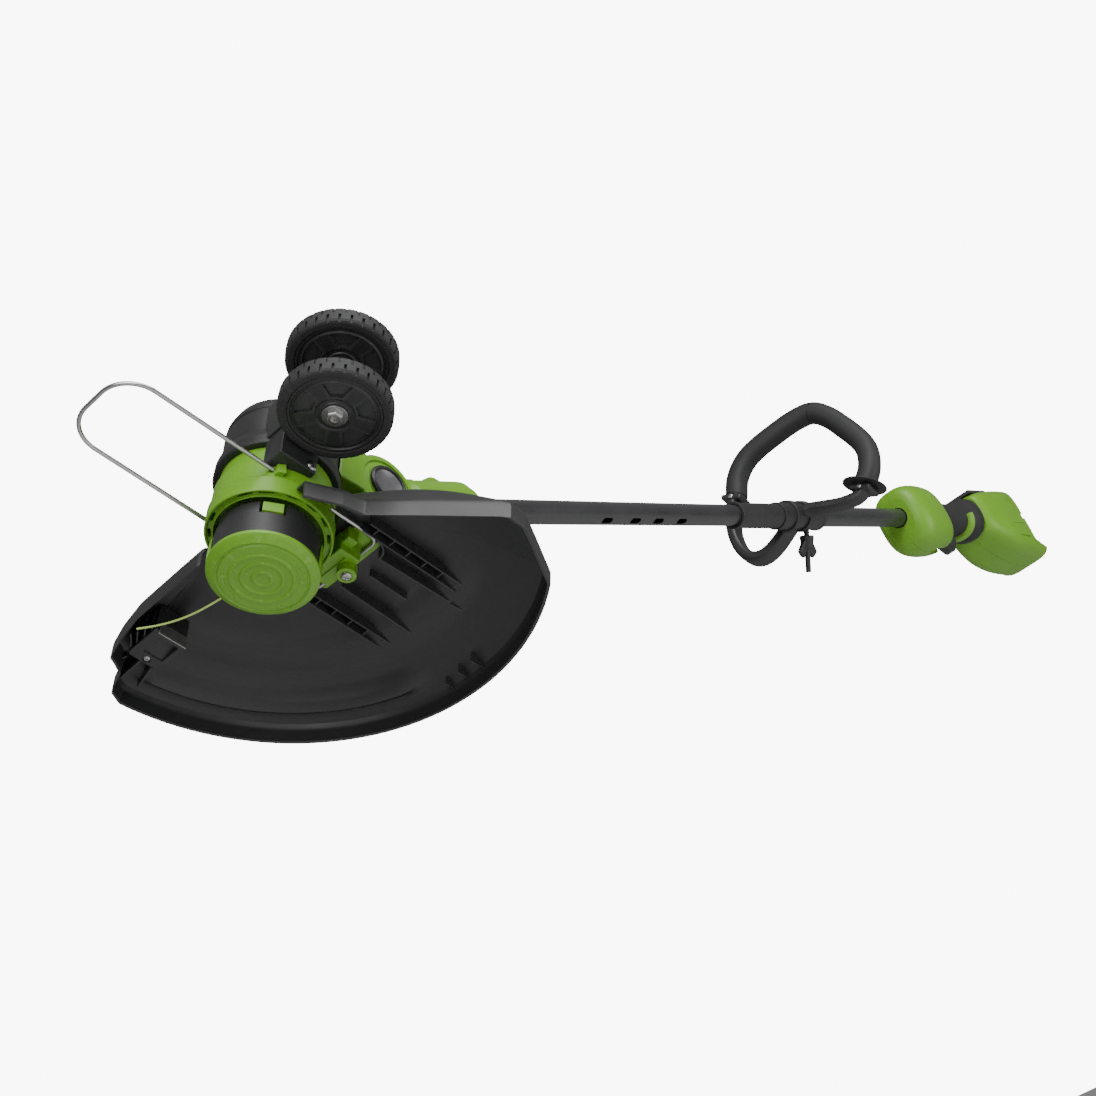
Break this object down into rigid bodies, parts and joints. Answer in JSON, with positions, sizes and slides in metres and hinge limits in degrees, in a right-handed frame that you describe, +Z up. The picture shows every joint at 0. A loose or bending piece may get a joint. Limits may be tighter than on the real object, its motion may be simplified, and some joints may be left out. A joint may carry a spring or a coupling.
{
  "type": "lawn edger",
  "caption": "Battery powered lawn edger and string trimmer: straight shaft, pivoting motor head, line spool, guard, wire guard, two edging wheels, loop handle and rear grip.",
  "frame": {"origin": "middle of the rear grip, on the axis of the shaft", "axes": "+X along the shaft towards the battery end, +Z up at the rear grip with the trigger below, +Y completes the right-handed frame; the edging wheels are on the -Y side"},
  "size_m": [1.6442, 0.3961, 0.3096],
  "materials": {
    "green_plastic": "satin moulded plastic",
    "black_plastic": "fine grained moulded plastic",
    "soft_grip": "soft matt overmould",
    "tyre_rubber": "matt rubber",
    "coated_tube": "satin black coating",
    "bright_steel": "bright plated",
    "button_metal": "satin grey",
    "copper_winding": "enamelled copper wire",
    "circuit_board": "solder mask",
    "cutting_line": "extruded nylon"
  },
  "bodies": {
    "handle": {"shaft_tube": "coated_tube", "power_cable": "soft_grip", "hand_guard_left": "green_plastic", "hand_guard_right": "green_plastic", "grip_shell_left": "soft_grip", "grip_shell_right": "soft_grip", "rear_hood_left": "green_plastic", "rear_hood_right": "green_plastic", "hood_top_panel": "black_plastic", "battery_terminal_block": "black_plastic", "control_board": "circuit_board", "trigger_switch": "black_plastic"},
    "trigger": {"trigger": "black_plastic"},
    "lock_lever": {"lock_off_lever": "black_plastic"},
    "assist_handle": {"assist_grip": "soft_grip", "assist_base": "black_plastic", "tube_sleeve": "black_plastic", "clamp_bolt": "bright_steel"},
    "knob": {"wing_knob": "black_plastic"},
    "neck": {"neck_yoke_left": "green_plastic", "neck_yoke_right": "green_plastic", "collar_tab": "green_plastic", "pivot_pin": "bright_steel"},
    "head": {"head_housing_left": "green_plastic", "head_housing_right": "green_plastic", "motor_cover_left": "black_plastic", "motor_cover_right": "black_plastic", "motor_top_cap": "green_plastic", "motor_stator": "copper_winding", "motor_lower_plate": "bright_steel", "motor_upper_plate": "bright_steel", "lower_bearing": "bright_steel", "upper_bearing": "bright_steel", "head_arm_left": "green_plastic", "head_arm_right": "green_plastic", "button_ring": "black_plastic", "line_guard": "black_plastic", "line_cutter_blade": "bright_steel", "guard_clip": "green_plastic", "clip_screw": "bright_steel", "wheel_bracket": "black_plastic", "bracket_screw": "bright_steel", "wheel_axle": "bright_steel", "axle_nut": "bright_steel"},
    "pivot_button": {"pivot_button": "button_metal"},
    "spool": {"spool_cup": "black_plastic", "line_eyelet": "bright_steel", "spool_cap": "green_plastic", "line_reel": "black_plastic", "line_winding": "cutting_line", "reel_spring": "bright_steel", "motor_shaft": "bright_steel", "motor_rotor": "bright_steel", "trimmer_line": "cutting_line"},
    "release_tab": {"release_tab": "green_plastic"},
    "near_wheel": {"near_wheel_hub": "black_plastic", "near_wheel_tyre": "tyre_rubber"},
    "far_wheel": {"far_wheel_hub": "black_plastic", "far_wheel_tyre": "tyre_rubber"},
    "wire_guard": {"wire_guard": "bright_steel"}
  },
  "joints": [
    {"name": "trigger_pull", "type": "hinge", "parent": "handle", "child": "trigger", "pos_m": [-0.074, 0, -0.032], "axis": [0, -1, 0], "range_deg": [0, 6], "stiffness_Nm_per_rad": 0.4, "springref_deg": -5.73},
    {"name": "lock_lever_press", "type": "hinge", "parent": "handle", "child": "lock_lever", "pos_m": [-0.054, 0, 0.029], "axis": [0, 1, 0], "range_deg": [0, 9], "stiffness_Nm_per_rad": 0.1, "springref_deg": -5.73},
    {"name": "assist_handle_slide", "type": "slide", "parent": "handle", "child": "assist_handle", "axis": [1, 0, 0], "range_m": [-0.15, 0.1]},
    {"name": "wing_knob_turn", "type": "hinge", "parent": "assist_handle", "child": "knob", "pos_m": [-0.379, 0.00775, -0.01457], "axis": [0, 0.4695, -0.8829], "continuous": true},
    {"name": "head_turn", "type": "hinge", "parent": "handle", "child": "neck", "pos_m": [-1.184, 0, 0], "axis": [1, 0, 0], "range_deg": [0, 90]},
    {"name": "head_tilt", "type": "hinge", "parent": "neck", "child": "head", "pos_m": [-1.184, 0, 0], "axis": [0, 1, 0], "range_deg": [-15, 15]},
    {"name": "pivot_button_press", "type": "slide", "parent": "head", "child": "pivot_button", "axis": [0, 1, 0], "range_m": [0, 0.003], "stiffness_N_per_m": 800, "springref_m": -0.001},
    {"name": "spool_spin", "type": "hinge", "parent": "head", "child": "spool", "pos_m": [-1.33512, 0, -0.06091], "axis": [0.5962, 0, 0.8028], "continuous": true},
    {"name": "release_tab_press", "type": "slide", "parent": "spool", "child": "release_tab", "axis": [0.4254, 0.848, -0.316], "range_m": [0, 0.0015], "stiffness_N_per_m": 800, "springref_m": -0.001},
    {"name": "near_wheel_roll", "type": "hinge", "parent": "head", "child": "near_wheel", "pos_m": [-1.30441, -0.106, 0.01967], "axis": [0.5962, 0, 0.8028], "continuous": true},
    {"name": "far_wheel_roll", "type": "hinge", "parent": "head", "child": "far_wheel", "pos_m": [-1.26655, -0.106, 0.07065], "axis": [0.5962, 0, 0.8028], "continuous": true},
    {"name": "wire_guard_slide", "type": "slide", "parent": "head", "child": "wire_guard", "axis": [0.8028, 0, -0.5962], "range_m": [0, 0.065]}
  ]
}
